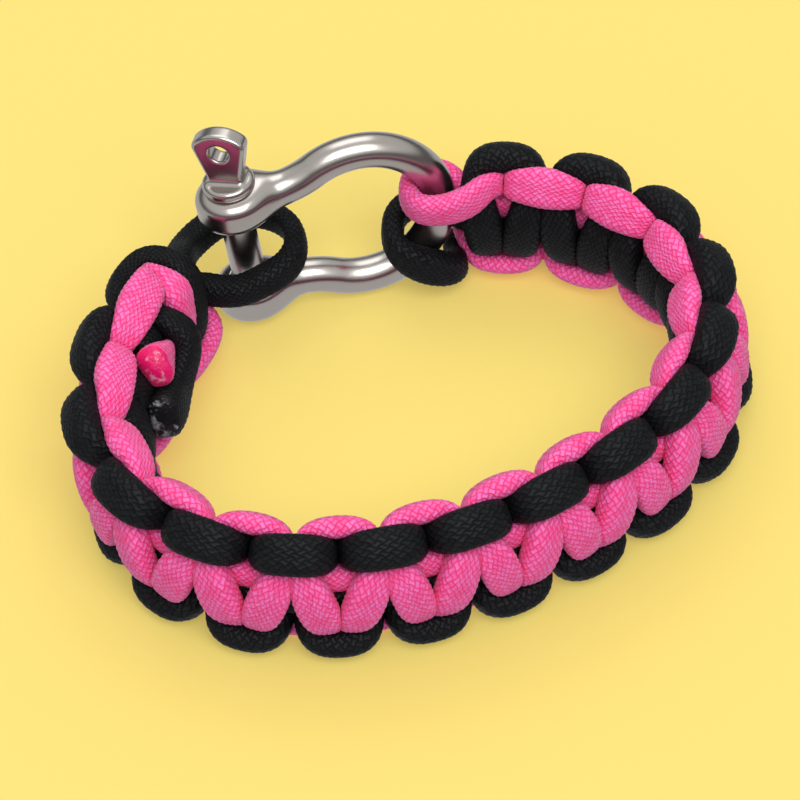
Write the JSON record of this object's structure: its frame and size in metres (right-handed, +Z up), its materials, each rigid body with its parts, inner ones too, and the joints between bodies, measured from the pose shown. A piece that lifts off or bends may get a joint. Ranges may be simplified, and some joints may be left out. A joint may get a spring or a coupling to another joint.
{
  "type": "paracord bracelet",
  "caption": "Two-colour braided cord bracelet in a cobra weave, closed by a bow shackle with a screw pin and standing on its edge.",
  "frame": {"origin": "middle of the whole bracelet's footprint, on the surface that the band's lower edge rests on", "axes": "+Z up, across the band; +X along the bracelet's longest width; +Y towards the side where the shackle closes it"},
  "size_m": [0.0774, 0.066, 0.027],
  "materials": {
    "black_cord": "braided nylon cord, matt black",
    "pink_cord": "braided nylon cord, soft sheen, hot pink",
    "polished_steel": "polished stainless steel"
  },
  "bodies": {
    "bracelet": {"black_cord": "black_cord", "pink_cord": "pink_cord", "shackle_bow": "polished_steel"},
    "pin": {"shackle_pin": "polished_steel"}
  },
  "joints": [
    {"name": "pin_out", "type": "slide", "parent": "bracelet", "child": "pin", "axis": [-0.1563, 0.0967, 0.983], "range_m": [0, 0.015]}
  ]
}
